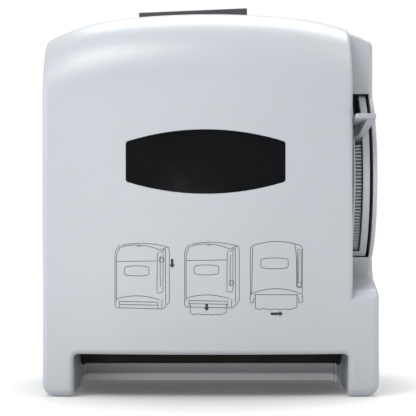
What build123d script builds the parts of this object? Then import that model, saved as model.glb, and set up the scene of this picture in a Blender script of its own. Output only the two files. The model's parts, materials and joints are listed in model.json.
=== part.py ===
from build123d import *
import math
import os

# Lever paper towel dispenser for 8 inch hard-wound rolls, in millimetres and degrees.
# While it is drawn, X runs across the front, Y is the depth behind the front edge of the
# cover's sides, and Z is the height above the feet. The finished pieces are moved to the
# middle of the overall depth, so that the origin is under the middle of the dispenser.

# Paper roll, round which the dispenser is sized
roll_width = 203.0
roll_diameter = 203.0
roll_axis_height = 240.0
roll_rear_gap = 5.5
roll_side_room = 25.18

# Overall casing
casing_depth = 230.0
crest_height = 374.0

# Front cover
cover_wall = 3.0
crown_height = 14.0
brow_radius = 67.0
cover_edge_radius = 8.0
crest_radius = 960.0
crest_half_width = 75.0
shoulder_radius = 290.0
shoulder_half_width = 114.0
corner_arc_radius = 190.0
cover_rear_gap = 1.8

# Feet and the bay between them, where the towel hangs
foot_width = 30.9
foot_heel_length = 12.0
foot_corner_radius = 13.0
bay_height = 41.3
bay_corner_radius = 5.0
bay_edge_radius = 4.8

# Window
window_width = 152.7
window_height = 61.6
window_end_height = 38.0
window_corner_radius = 3.0
window_center_x = -5.0
window_center_z = 226.0
lens_thickness = 2.5
lens_margin = 6.0
lens_gap = 0.05

# Notch in the cover's right side, and the lever well in it
notch_depth = 65.0
ledge_gap = 16.5
ledge_drop = 15.0
ledge_back_radius = 15.0
ledge_lip_depth = 9.0
ledge_lip_slope = 0.8
ledge_lip_radius = 12.0
notch_edge_radius = 5.0
well_lower_gap = 1.4
well_upper_gap = 3.9
rim_width = 4.1
rim_lift = 0.5
rim_edge_radius = 1.2

# Cover hinge
cover_hinge_depth = 100.0
cover_hinge_height = 18.0
cover_hinge_pin_radius = 4.0
cover_hinge_boss_radius = 8.0
cover_hinge_boss_length = 3.5
cover_hinge_arm_radius = 27.0
cover_hinge_arm_gap = 1.0
pin_head_rim = 1.5
pin_head_height = 2.0

# Back plate
back_plate_thickness = 5.0
back_plate_inset = 1.5
tab_left = -79.0
tab_right = 40.4
tab_left_height = 397.5
tab_right_height = 402.6
tab_root_height = 340.0
wall_hole_radius = 3.25
wall_hole_spacing_x = 203.2
wall_hole_spacing_z = 254.0
wall_hole_center_height = 190.0

# Side frames
frame_thickness = 3.0
frame_bottom = 26.0
frame_flange_width = 15.0
frame_carrier_gap = 2.0
frame_brow = 26.0
frame_chin = 20.0
left_frame_height = 150.0
left_frame_top_depth = 180.0
right_frame_height = 285.0
right_frame_top_depth = 150.0
frame_screw_radius = 2.0
frame_screw_head_radius = 4.0
frame_screw_head_height = 2.4
frame_screw_bite = 3.0
frame_screw_rise = 20.0

# Outlet tray under the rollers
tray_side_gap = 0.8
tray_cheek_thickness = 4.0
tray_arm_step = 1.9
tray_block_gap = 4.0
tray_cheek_height = 40.0
tray_lip_depth = 148.0
tray_lip_height = 6.8
tray_wall = 2.5
tray_frame_gap = 0.4
chute_top_depth = 124.0
chute_top_height = 46.0
tray_screw_chute_gap = 2.0
tray_screw_rear_margin = 25.0

# Tear bar
carrier_end_gap = 1.0
carrier_roller_gap = 1.8
carrier_wall = 3.0
carrier_drop = 34.1
carrier_height = 31.0
carrier_channel_depth = 14.0
carrier_rear_height = 15.0
carrier_lobe_drop = 1.5
carrier_lobe_width = 5.5
carrier_ear_length = 18.0
carrier_ear_height = 17.0
carrier_screw_head_height = 1.4
blade_half_width = 108.0
blade_thickness = 0.8
blade_height = 13.5
blade_tooth_pitch = 4.0
blade_tooth_depth = 2.6
blade_tooth_drop = 0.6
blade_screw_spacing = 90.0
blade_screw_head_height = 1.6

# Lever and its guide
pivot_pin_radius = 5.0
guide_tooth_gap = 4.6
guide_top_gap = 1.5
guide_bottom_gap = 1.0
guide_left_wall = 2.0
guide_band_width = 6.5
guide_ring_depth = 7.5
guide_bar_height = 5.0
guide_bar_gap = 0.9
guide_well_gap = 2.9
guide_rim_gap = 3.3
guide_plate_reach = 38.0
guide_spring_window_radius = 20.0
guide_post_radius = 5.0
guide_post_rise = 55.0
slot_width = 7.4
arm_width = 6.2
arm_lower_angle = 24.5
arm_upper_angle = 33.5
lever_hub_radius = 12.0
lever_web_thickness = 2.2
paddle_overhang = 32.5
paddle_rise = 54.3
paddle_thickness = 4.8
paddle_tilt = 6.0
paddle_right_taper = 11.4
paddle_corner_radius = 1.5
paddle_edge_radius = 0.8
paddle_running_gap = 0.7
paddle_side_gap = 0.5
paddle_wall_gap = 1.8
brace_top_width = 8.0
brace_foot_width = 5.7
brace_rise = 33.5
brace_setback = 3.0
brace_lap = 1.0
brace_edge_gap = 0.2
spring_wire = 1.6
spring_turns = 4
spring_pin_gap = 0.3

# Gear train, up from the feed roller
feed_roller_depth = 85.8
feed_roller_height = 60.0
gear_module = 1.1
sector_teeth = 156
idler_teeth = 52
roller_gear_teeth = 26
gear_face_width = 5.6
gear_backlash = 0.14
pressure_angle = 20.0
sector_upper_angle = 21.0
sector_lower_margin = 7.0
sector_rim_depth = 9.0
sector_lap_depth = 10.0
sector_screw_radius = 1.5
sector_screw_head_height = 0.8
idler_mesh_angle = 86.0
roller_mesh_angle = 25.0
idler_shaft_radius = 3.0
running_clearance = 0.05
seat_clearance = 0.02
end_float = 0.4
gear_cover_thickness = 2.5
gear_cover_gap = 0.8
upper_post_rise = 22.0
lower_post_reach = 16.0

# Rollers
roller_shaft_radius = 4.0
feed_roller_radius = 15.0
feed_core_radius = 11.0
feed_core_end_gap = 14.0
sleeve_width = 50.0
sleeve_pitch = 72.0
bush_wall = 3.0
bush_flange = 2.0
bush_flange_width = 1.5
clutch_radius = 9.0
clip_width = 1.2
clip_rim = 2.2
pinch_roller_radius = 8.0
pinch_shaft_radius = 3.0
pinch_gap = 0.4
pinch_spring_radius = 3.2
pinch_spring_wire = 0.8
pinch_spring_length = 12.0
pinch_spring_turns = 5

# Roll arms and core hubs
arm_thickness = 3.0
arm_root_width = 26.0
arm_end_radius = 16.0
arm_core_gap = 3.0
arm_hinge_setback = 13.0
arm_hinge_pin_radius = 2.5
arm_lug_thickness = 5.0
arm_lug_width = 8.8
arm_lug_gap = 0.4
arm_barrel_radius = 4.3
core_hub_radius = 18.5
core_hub_length = 14.0
core_hub_notches = 4
core_stub_radius = 4.0

# Lock
lock_setback = 29.0
lock_barrel_radius = 8.0
lock_barrel_length = 30.0
lock_flange_radius = 11.0
lock_flange_height = 1.6
lock_housing_radius = 10.0
lock_housing_length = 20.0
lock_nut_radius = 13.0
lock_nut_height = 4.5
lock_nut_gap = 1.0
key_slot_width = 1.6
key_slot_length = 8.0
key_slot_depth = 6.0
cam_length = 18.0
cam_width = 8.0
cam_thickness = 2.5
keeper_offset = 11.0
keeper_width = 6.0
keeper_thickness = 2.5
keeper_gap = 0.6
keeper_foot_height = 14.0

# Widths that follow from the ones above, from the roll outwards
frame_inner = roll_width / 2 + roll_side_room
frame_outer = frame_inner + frame_thickness
tray_half_width = frame_outer + seat_clearance + tray_cheek_thickness
foot_inner = frame_outer + seat_clearance + tray_arm_step
foot_pocket_x = tray_half_width + tray_side_gap
half_width = foot_inner + foot_width
rim_x = half_width - rim_width
band_right = rim_x - guide_rim_gap
slot_right = band_right - guide_band_width
slot_left = slot_right - slot_width
guide_left = slot_left - guide_left_wall
notch_x = guide_left - guide_well_gap
arm_left_x = slot_left + (slot_width - arm_width) / 2
arm_right_x = arm_left_x + arm_width
gear_left = arm_left_x
gear_right = gear_left + gear_face_width
gear_cover_left = slot_right + gear_cover_gap
gear_cover_right = gear_cover_left + gear_cover_thickness
carrier_half_width = foot_inner - carrier_end_gap
feed_core_half_length = frame_inner - feed_core_end_gap
arm_hinge_x = roll_width / 2 + arm_core_gap + arm_thickness / 2

# Gear sizes and directions
sector_radius = gear_module * sector_teeth / 2
idler_radius = gear_module * idler_teeth / 2
roller_gear_radius = gear_module * roller_gear_teeth / 2
gear_root_depth = 1.25 * gear_module
sector_rim_inner = sector_radius - gear_root_depth - sector_rim_depth + gear_module
sector_mesh_direction = 180 + idler_mesh_angle
roller_mesh_direction = 270 - roller_mesh_angle


def step_along(start, distance, direction):
    """The point at a distance from another in the side view, at an angle from the rear."""
    angle = math.radians(direction)
    return (start[0] + distance * math.cos(angle), start[1] + distance * math.sin(angle))


# Axes along X, as depth and height
roller = (feed_roller_depth, feed_roller_height)
idler = step_along(roller, idler_radius + roller_gear_radius, roller_mesh_direction - 180)
pivot = step_along(idler, sector_radius + idler_radius, sector_mesh_direction - 180)
pinch = (roller[0] + feed_roller_radius + pinch_gap + pinch_roller_radius, roller[1])
cover_hinge = (cover_hinge_depth, cover_hinge_height)

# Depths and heights that follow
plate_front = casing_depth - back_plate_thickness
cover_depth = plate_front - cover_rear_gap
crown_radius = (half_width**2 + crown_height**2) / (2 * crown_height)
foot_length = cover_hinge_depth + foot_heel_length
roll_axis = (plate_front - roll_rear_gap - roll_diameter / 2, roll_axis_height)
arm_hinge_depth = plate_front - arm_hinge_setback
lock_depth = plate_front - lock_setback
tray_block_front = cover_hinge_depth + cover_hinge_arm_radius + tray_block_gap
foot_seam_radius = cover_hinge_arm_radius + cover_hinge_arm_gap
carrier_front = roller[0] - feed_roller_radius - carrier_roller_gap - carrier_wall
carrier_rear = carrier_front + carrier_channel_depth
carrier_bottom = roller[1] - carrier_drop
frame_front = carrier_front + carrier_wall + frame_carrier_gap
guide_radius = sector_radius + gear_module + guide_tooth_gap
rim_radius = guide_radius + rim_lift
rim_half_chord = math.sqrt(rim_radius**2 - (pivot[0] - notch_depth) ** 2)
well_bottom = pivot[1] - rim_half_chord - well_lower_gap
well_top = pivot[1] + rim_half_chord + well_upper_gap
guide_bottom = well_bottom + guide_bottom_gap
guide_top = well_top - guide_top_gap
guide_plate_back = pivot[0] + guide_plate_reach
ledge_height = well_bottom - ledge_gap
ledge_lip_height = ledge_height - ledge_drop * (1 - ledge_lip_depth / notch_depth)
ledge_front_height = ledge_lip_height - ledge_lip_depth * ledge_lip_slope
paddle_reach = guide_radius + paddle_overhang
paddle_tip_depth = pivot[0] - paddle_reach
paddle_tip_underside = pivot[1] + paddle_rise
screw_hole_radius = frame_screw_radius + seat_clearance
guide_post_bite_x = guide_left - pin_head_height
frame_shift = (casing_depth - crown_height) / 2


# ---------------------------------------------------------------- drawing helpers


def slab(x_range, y_range, z_range):
    """A box between two corners."""
    size = [high - low for low, high in (x_range, y_range, z_range)]
    middle = [(high + low) / 2 for low, high in (x_range, y_range, z_range)]
    return Pos(*middle) * Box(*size)


def side_plane(x):
    """A plane facing +X, whose own x is the depth and whose own y is the height."""
    return Plane(origin=(x, 0, 0), x_dir=(0, 1, 0), z_dir=(1, 0, 0))


def side_plate(outline, x_low, x_high):
    """A side-view outline made as thick as the stretch of X it fills."""
    return extrude(side_plane(x_low) * outline, amount=x_high - x_low)


def rod_x(place, radius, x_low, x_high):
    """A cylinder along X through a point of the side view."""
    return side_plate(Pos(*place) * Circle(radius), x_low, x_high)


def rod_y(x, z, radius, y_low, y_high):
    """A cylinder along Y."""
    plane = Plane(origin=(x, y_low, z), x_dir=(1, 0, 0), z_dir=(0, 1, 0))
    return extrude(plane * Circle(radius), amount=y_high - y_low)


def rod_z(x, y, radius, z_low, z_high):
    """A cylinder along Z."""
    return extrude(Plane.XY.offset(z_low) * Pos(x, y) * Circle(radius), amount=z_high - z_low)


def mirrored(part):
    """The left-hand twin of a right-hand piece."""
    return mirror(part, about=Plane.YZ)


def both_sides(part):
    """A piece and its twin, as separate solids of one node."""
    return Compound(children=[part, mirrored(part)])


def flat_outline(points):
    """A closed straight-sided face."""
    return make_face(Polyline(points, close=True))


def ring_sector(inner, outer, low_z, high_z):
    """The part of a ring about the lever pivot that lies in front of it, between two heights."""
    ring = Pos(*pivot) * (Circle(outer) - Circle(inner))
    window = Pos(pivot[0] - outer, (low_z + high_z) / 2) * Rectangle(2 * outer, high_z - low_z)
    return ring & window


def edge_lies_on(edge, x=None, y=None, z=None, tolerance=0.05):
    """Whether a whole edge lies on the given coordinate planes."""
    box = edge.bounding_box()
    spans = ((x, box.min.X, box.max.X), (y, box.min.Y, box.max.Y), (z, box.min.Z, box.max.Z))
    return all(
        value is None or (abs(low - value) < tolerance and abs(high - value) < tolerance)
        for value, low, high in spans
    )


# ---------------------------------------------------------------- front cover


def arch_outline(inset, reach):
    """The front view of the casing, drawn wider than it is and open below the feet."""
    sine_1 = crest_half_width / crest_radius
    sine_2 = sine_1 + (shoulder_half_width - crest_half_width) / shoulder_radius
    sine_3 = sine_2 + (half_width - shoulder_half_width) / corner_arc_radius
    slope_1, slope_2, slope_3 = (math.degrees(math.asin(s)) for s in (sine_1, sine_2, sine_3))
    crest_center = (0, crest_height - crest_radius)
    shoulder_center = step_along(crest_center, crest_radius - shoulder_radius, 90 - slope_1)
    corner_center = step_along(shoulder_center, shoulder_radius - corner_arc_radius, 90 - slope_2)
    crest = CenterArc(crest_center, crest_radius - inset, 90 - slope_1, 2 * slope_1)
    shoulder = CenterArc(shoulder_center, shoulder_radius - inset, 90 - slope_2, slope_2 - slope_1)
    corner = CenterArc(corner_center, corner_arc_radius - inset, 90 - slope_3, slope_3 - slope_2)
    end = step_along(corner_center, corner_arc_radius - inset, 90 - slope_3)
    far = (reach, end[1] - (reach - end[0]) * math.tan(math.radians(slope_3)))
    floor = -brow_radius
    right = [shoulder, corner, Line(end, far), Line(far, (reach, floor))]
    left = [edge.mirror(Plane.YZ) for edge in right]
    return make_face(Wire([crest] + right + left + [Line((reach, floor), (-reach, floor))]))


def casing_block(inset):
    """The casing as a solid block, or its inside when it is inset by the wall."""
    reach = half_width + brow_radius
    tall = 2 * crest_height
    arch = extrude(Plane.XZ * arch_outline(inset, reach), amount=2 * casing_depth, both=True)
    depth_slab = slab((-reach, reach), (-casing_depth, cover_depth), (-tall, tall))
    crown = Pos(0, crown_radius - crown_height, 0) * Cylinder(crown_radius - inset, 2 * tall)
    block = arch & depth_slab & crown
    brow = [
        edge
        for edge in block.edges()
        if edge.center().Y < brow_radius and edge.center().Z > crest_height / 2
        and edge.bounding_box().size.X > cover_edge_radius
    ]
    block = fillet(brow, brow_radius - inset)
    side = half_width - inset
    sides = Pos(0, inset + tall / 2) * Rectangle(2 * side, tall)
    sides = fillet(sides.vertices().sort_by(Axis.Y)[:2], foot_corner_radius - inset)
    block = block & extrude(Plane.XZ * sides, amount=casing_depth, both=True)
    front_edges = [
        edge for edge in block.edges()
        if (edge_lies_on(edge, x=side) or edge_lies_on(edge, x=-side))
        and not edge_lies_on(edge, y=cover_depth) and edge.bounding_box().max.Z > inset + foot_corner_radius
    ]
    return fillet(front_edges, cover_edge_radius - inset)


def bay_space():
    """The open space between the feet."""
    outline = Rectangle(2 * foot_inner, 2 * bay_height)
    outline = fillet(outline.vertices().sort_by(Axis.Y)[-2:], bay_corner_radius)
    return extrude(Plane.XZ * outline, amount=casing_depth, both=True)


def notch_space(grow):
    """The space that the notch takes out of the right side, grown for the inside of its walls."""
    front = -4 * crown_height
    top = 1.2 * crest_height
    outline = flat_outline([
        (front, top),
        (notch_depth, top),
        (notch_depth, ledge_height),
        (ledge_lip_depth, ledge_lip_height),
        (front, ledge_lip_height - (ledge_lip_depth - front) * ledge_lip_slope),
    ])
    inner_corner = outline.vertices().sort_by_distance((notch_depth, ledge_height, 0))[0]
    outline = fillet(inner_corner, ledge_back_radius)
    lip_corner = outline.vertices().sort_by_distance((ledge_lip_depth, ledge_lip_height, 0))[0]
    outline = fillet(lip_corner, ledge_lip_radius)
    if grow:
        outline = offset(outline, grow)
    return side_plate(outline, notch_x - grow, half_width + cover_wall)


def round_bay_edges(block):
    """Rounds the front edge of the bay, down both feet and on along their inner lower edges."""
    edges = [
        edge for edge in block.edges()
        if edge.center().Y < 1 and abs(edge.center().X) < foot_inner + 0.1
        and edge.center().Z < bay_height + 0.1
    ]
    return fillet(edges, bay_edge_radius)


def foot_pocket():
    """The space beside the right foot in which the tray's hinge arm lies, flush with the foot."""
    seam = Pos(*cover_hinge) * Circle(foot_seam_radius)
    length = cover_depth - cover_hinge_depth
    behind = Pos(cover_hinge_depth + length / 2, 0) * Rectangle(length, 2 * bay_height)
    return side_plate(seam + behind, foot_inner - 1, foot_pocket_x)


def round_notch_edges(block):
    """Rounds the ledge and the notch's front and rear edges."""
    right_edges = [edge for edge in block.edges() if edge.bounding_box().min.X > notch_x - 0.05]
    ledge_lines = []
    wall_lines = []
    for edge in right_edges:
        box = edge.bounding_box()
        on_wall = edge_lies_on(edge, x=notch_x)
        on_side = edge_lies_on(edge, x=half_width)
        if not on_wall and box.max.Y < cover_edge_radius and abs(
            edge.center().Z - ledge_front_height
        ) < cover_edge_radius:
            ledge_lines.append(edge)
        elif on_side and box.max.Y < notch_depth + 0.05 and box.max.Z < ledge_height + ledge_back_radius:
            ledge_lines.append(edge)
        elif on_wall and box.min.Y < notch_depth - 0.05 and (
            box.max.Y < 0 or box.min.Z > ledge_height + brow_radius
        ):
            wall_lines.append(edge)
        elif edge_lies_on(edge, y=notch_depth) and box.min.Z > crest_height - brow_radius:
            wall_lines.append(edge)
    return fillet(ledge_lines + wall_lines, notch_edge_radius)


def window_outline(grow):
    """The window: flat ends and bowed top and bottom, with small corner radii."""
    half = window_width / 2 + grow
    end = window_end_height / 2 + grow
    middle = window_height / 2 + grow
    top = ThreePointArc((-half, end), (0, middle), (half, end))
    right = Line((half, end), (half, -end))
    bottom = ThreePointArc((half, -end), (0, -middle), (-half, -end))
    left = Line((-half, -end), (-half, end))
    face = make_face(Wire([top, right, bottom, left]))
    return Pos(window_center_x, window_center_z) * fillet(face.vertices(), window_corner_radius + grow / 2)


def through_front(outline):
    """A front-view outline made into a cutter through the cover's front wall."""
    return extrude(Plane.XZ * outline, amount=casing_depth / 4, both=True)


def front_cover():
    """The hinged cover: arch-topped shell, feet, window opening, lever notch and rim."""
    outside = round_bay_edges(casing_block(0) - bay_space())
    outside = round_notch_edges(outside - notch_space(0))

    open_floor = slab((-foot_inner, foot_inner), (0, cover_depth), (-1, bay_height))
    open_heel = slab(
        (-half_width + cover_wall, half_width - cover_wall), (foot_length, cover_depth), (-1, bay_height)
    )
    cavity = casing_block(cover_wall) + open_floor + open_heel
    joggle_depth = cover_hinge_depth - foot_seam_radius - 2 * cover_wall
    wall_right = foot_inner + cover_wall
    front_wall = slab((foot_inner, wall_right), (-crown_height, cover_hinge_depth), (-1, bay_height))
    pocket_wall = slab(
        (foot_pocket_x, foot_pocket_x + cover_wall), (joggle_depth, foot_length), (-1, bay_height)
    )
    for wall in (front_wall, pocket_wall):
        cavity = cavity - wall - mirrored(wall)
    behind_skirt = slab(
        (-foot_inner, foot_inner), (cover_wall - crown_height, cover_depth), (0, bay_height + cover_wall)
    )
    cavity = cavity + (behind_skirt & casing_block(cover_wall))
    cavity = cavity - notch_space(cover_wall)
    shell = outside - cavity

    rim_disc = Pos(*pivot) * Circle(rim_radius)
    rim_window = Pos(notch_depth, pivot[1]) * Rectangle(
        2 * rim_radius, well_top - well_bottom
    )
    rim = side_plate(rim_disc & rim_window, rim_x, half_width)
    rim_back = notch_depth + 2 * cover_wall
    rim = rim & slab((rim_x, half_width), (0, rim_back), (0, crest_height))
    arc_edges = [
        edge for edge in rim.edges()
        if edge_lies_on(edge, x=half_width) and edge.bounding_box().min.Y < notch_depth - cover_wall
    ]
    shell = shell + fillet(arc_edges, rim_edge_radius)
    shell = shell - slab(
        (notch_x, rim_x), (notch_depth - 1, notch_depth + cover_wall + 1), (well_bottom, well_top)
    )
    shell = shell - through_front(window_outline(0))

    pocket = foot_pocket()
    boss_start = foot_pocket_x + cover_wall
    boss_end = boss_start + cover_hinge_boss_length
    boss = rod_x(cover_hinge, cover_hinge_boss_radius, boss_start, boss_end)
    pin_hole = rod_x(cover_hinge, cover_hinge_pin_radius + running_clearance, foot_pocket_x - 1, boss_end + 1)
    shell = shell - pocket - mirrored(pocket)
    shell = shell + boss + mirrored(boss)
    shell = shell - pin_hole - mirrored(pin_hole)
    lock_hole_radius = lock_housing_radius + seat_clearance
    lock_hole = rod_z(0, lock_depth, lock_hole_radius, crest_height / 2, 1.5 * crest_height)
    return shell - lock_hole


def window_lens():
    """The smoked lens, bent to the crown and set against the inside of the front wall."""
    front_radius = crown_radius - cover_wall - lens_gap
    center = Pos(0, crown_radius - crown_height, 0)
    bent = center * (
        Cylinder(front_radius, 2 * crest_height) - Cylinder(front_radius - lens_thickness, 2 * crest_height)
    )
    return bent & through_front(window_outline(lens_margin))


# ---------------------------------------------------------------- chassis


def tab_outline():
    """The hanging tab that stands above the cover, with its sloping top edge."""
    face = flat_outline([
        (tab_left, tab_root_height),
        (tab_right, tab_root_height),
        (tab_right, tab_right_height),
        (tab_left, tab_left_height),
    ])
    return face


def wall_hole_places():
    """The four wall screw holes, as X and Z."""
    for side in (-1, 1):
        for level in (-1, 1):
            yield (
                side * wall_hole_spacing_x / 2,
                wall_hole_center_height + level * wall_hole_spacing_z / 2,
            )


def arm_lug_levels():
    """The height ranges of the two hinge lugs of a roll arm."""
    barrel_half = arm_root_width / 2
    inner = barrel_half + arm_lug_gap
    outer = inner + arm_lug_thickness
    return [
        (roll_axis_height - outer, roll_axis_height - inner),
        (roll_axis_height + inner, roll_axis_height + outer),
    ]


def back_plate():
    """The moulded wall plate: arch outline, hanging tab, wall screw holes and roll arm lugs."""
    outline = arch_outline(back_plate_inset, 2 * half_width)
    window = slab(
        (-half_width + back_plate_inset, half_width - back_plate_inset),
        (plate_front, casing_depth),
        (0, 2 * crest_height),
    )
    plate = extrude(Plane.XZ * outline, amount=-2 * casing_depth) & window
    tab = extrude(Plane.XZ.offset(-plate_front) * tab_outline(), amount=-back_plate_thickness)
    plate = plate + tab
    for x, z in wall_hole_places():
        plate = plate - rod_y(x, z, wall_hole_radius, plate_front - 1, casing_depth + 1)
    for side in (-1, 1):
        for low, high in arm_lug_levels():
            lug = slab(
                (side * arm_hinge_x - arm_lug_width / 2, side * arm_hinge_x + arm_lug_width / 2),
                (arm_hinge_depth, plate_front),
                (low, high),
            )
            lug = lug + rod_z(side * arm_hinge_x, arm_hinge_depth, arm_lug_width / 2, low, high)
            lug = lug - rod_z(
                side * arm_hinge_x, arm_hinge_depth, arm_hinge_pin_radius + seat_clearance, low - 1, high + 1
            )
            plate = plate + lug
    for place in frame_screw_places():
        plate = plate - rod_y(
            place[0], place[1], screw_hole_radius, plate_front - 1, plate_front + frame_screw_bite
        )
    return plate


def frame_screw_places():
    """The screws that hold the frame flanges to the back plate, as X and Z."""
    flange_middle = frame_outer + frame_flange_width / 2
    for side, height in ((-1, left_frame_height), (1, right_frame_height)):
        for level in (frame_bottom + frame_screw_rise, height - frame_screw_rise):
            yield (side * flange_middle, level)


def frame_web(height, upper_depth):
    """The side view of a side frame, from the back plate forward to the roller bearings."""
    return flat_outline([
        (plate_front, frame_bottom),
        (plate_front, height),
        (upper_depth, height),
        (frame_front, roller[1] + frame_brow),
        (frame_front, roller[1] - frame_chin),
        (frame_front + carrier_channel_depth, frame_bottom),
    ])


def pinch_slot(x_low, x_high):
    """The slot in which the pinch roller's shaft floats."""
    travel = pinch_gap + 2 * running_clearance
    slot = SlotOverall(2 * (pinch_shaft_radius + running_clearance) + travel, 2 * (
        pinch_shaft_radius + running_clearance
    ))
    return side_plate(Pos(pinch[0] + travel / 2, pinch[1]) * slot, x_low, x_high)


def side_frame(side, height, upper_depth):
    """A pressed side frame with its rear flange turned outwards."""
    web = side_plate(frame_web(height, upper_depth), frame_inner, frame_outer)
    if side > 0:
        pivot_ear = Pos(*pivot) * Circle(lever_hub_radius + 2 * frame_thickness)
        web = web + side_plate(pivot_ear, frame_inner, frame_outer)
    flange = slab(
        (frame_inner, frame_outer + frame_flange_width),
        (plate_front - frame_thickness, plate_front),
        (frame_bottom, height),
    )
    frame = web + flange
    bush_hole_radius = roller_shaft_radius + bush_wall + seat_clearance
    frame = frame - rod_x(roller, bush_hole_radius, frame_inner - 1, frame_outer + 1)
    frame = frame - pinch_slot(frame_inner - 1, frame_outer + 1)
    if side < 0:
        frame = mirrored(frame)
    for x, z in frame_screw_places():
        frame = frame - rod_y(x, z, screw_hole_radius, plate_front - 2 * frame_thickness, plate_front + 1)
    for place in carrier_screw_places() + tray_screw_places():
        frame = frame - rod_x(place, screw_hole_radius, -frame_outer - 1, frame_outer + 1)
    return frame


def left_side_frame():
    """The left side frame carries the free ends of the rollers."""
    return side_frame(-1, left_frame_height, left_frame_top_depth)


def right_side_frame():
    """The right side frame also carries the lever pivot, the idler and the lever guide."""
    frame = side_frame(1, right_frame_height, right_frame_top_depth)
    frame = frame - rod_x(pivot, pivot_pin_radius + seat_clearance, frame_inner - 1, frame_outer + 1)
    frame = frame - rod_x(idler, idler_shaft_radius + seat_clearance, frame_inner - 1, frame_outer + 1)
    for place in guide_post_places() + gear_cover_post_places():
        frame = frame - rod_x(place, screw_hole_radius, frame_inner - 1, frame_outer + 1)
    return frame


def frame_screw(x, z):
    """A pan-head screw that clamps a frame flange to the back plate."""
    head_rear = plate_front - frame_thickness
    head = rod_y(x, z, frame_screw_head_radius, head_rear - frame_screw_head_height, head_rear)
    shank = rod_y(x, z, frame_screw_radius, head_rear, plate_front + frame_screw_bite)
    return head + shank


def frame_screws():
    """All four flange screws."""
    return Compound(children=[frame_screw(x, z) for x, z in frame_screw_places()])


def inboard_screw(place, side, tip):
    """A pan-head screw through a side frame from the inside, out to a tip beyond it."""
    head = rod_x(place, frame_screw_head_radius, frame_inner - frame_screw_head_height, frame_inner)
    shank = rod_x(place, frame_screw_radius, frame_inner, tip)
    screw = head + shank
    return screw if side > 0 else mirrored(screw)


def tray_screw_places():
    """The screws that hold the tray's cheeks to the side frames."""
    level = (frame_bottom + tray_cheek_height) / 2
    front = tray_lip_depth + 3 * tray_wall + frame_screw_head_radius + tray_screw_chute_gap
    return [(front, level), (plate_front - tray_screw_rear_margin, level)]


def outlet_tray():
    """The outlet: chute wall, front lip, floor and two cheeks whose arms carry the cover hinge pins."""
    rear = plate_front
    floor = flat_outline([
        (tray_lip_depth, 0),
        (rear, 0),
        (rear, tray_wall),
        (tray_lip_depth + tray_wall, tray_wall),
        (tray_lip_depth + tray_wall, tray_lip_height),
        (tray_lip_depth, tray_lip_height),
    ])
    lip_root = tray_lip_depth + 2 * tray_wall
    chute = flat_outline([
        (tray_lip_depth + tray_wall, tray_wall),
        (lip_root + tray_wall, tray_wall),
        (chute_top_depth + tray_wall, chute_top_height),
        (chute_top_depth, chute_top_height),
        (tray_lip_depth + tray_wall, tray_lip_height),
    ])
    cheek_rear = rear - frame_thickness - seat_clearance
    cheek_band = Pos(cheek_rear / 2, tray_cheek_height / 2) * Rectangle(cheek_rear, tray_cheek_height)
    behind_hinge = Pos(cover_hinge_depth + cheek_rear / 2, 0) * Rectangle(cheek_rear, casing_depth)
    behind_arm = Pos(tray_block_front + cheek_rear / 2, 0) * Rectangle(cheek_rear, casing_depth)
    nose = Pos(*cover_hinge) * Circle(cover_hinge_arm_radius)
    arm_face = cheek_band & (nose + behind_hinge)
    block_face = cheek_band & behind_arm
    cheek = side_plate(arm_face, foot_inner, tray_half_width)
    cheek = cheek + side_plate(block_face, tray_half_width - tray_cheek_thickness, tray_half_width)
    cheek = cheek - rod_x(cover_hinge, cover_hinge_pin_radius + seat_clearance, 0, 2 * half_width)
    for place in tray_screw_places():
        cheek = cheek - rod_x(place, screw_hole_radius, 0, 2 * half_width)
    tray = side_plate(floor, -tray_half_width, tray_half_width)
    below_frames = Rectangle(4 * bay_height, 2 * (frame_bottom - tray_frame_gap))
    low_chute = chute & Pos(tray_lip_depth, 0) * below_frames
    high_chute_half = frame_inner - tray_frame_gap
    tray = tray + side_plate(low_chute, -tray_half_width, tray_half_width)
    tray = tray + side_plate(chute, -high_chute_half, high_chute_half)
    return tray + cheek + mirrored(cheek)


def tray_screws():
    """The four screws through the side frames into the tray's cheeks."""
    screws = []
    for side in (-1, 1):
        for place in tray_screw_places():
            screws.append(inboard_screw(place, side, tray_half_width))
    return Compound(children=screws)


def cover_hinge_pins():
    """The two pins on which the cover swings, flush with the inside of the tray's arms."""
    boss_end = foot_pocket_x + cover_wall + cover_hinge_boss_length
    return both_sides(rod_x(cover_hinge, cover_hinge_pin_radius, foot_inner, boss_end))


def carrier_screw_places():
    """The screws that hold the tear bar carrier's ears to the side frames."""
    return [(carrier_rear + frame_carrier_gap, carrier_bottom + 0.6 * carrier_ear_height)]


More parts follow.
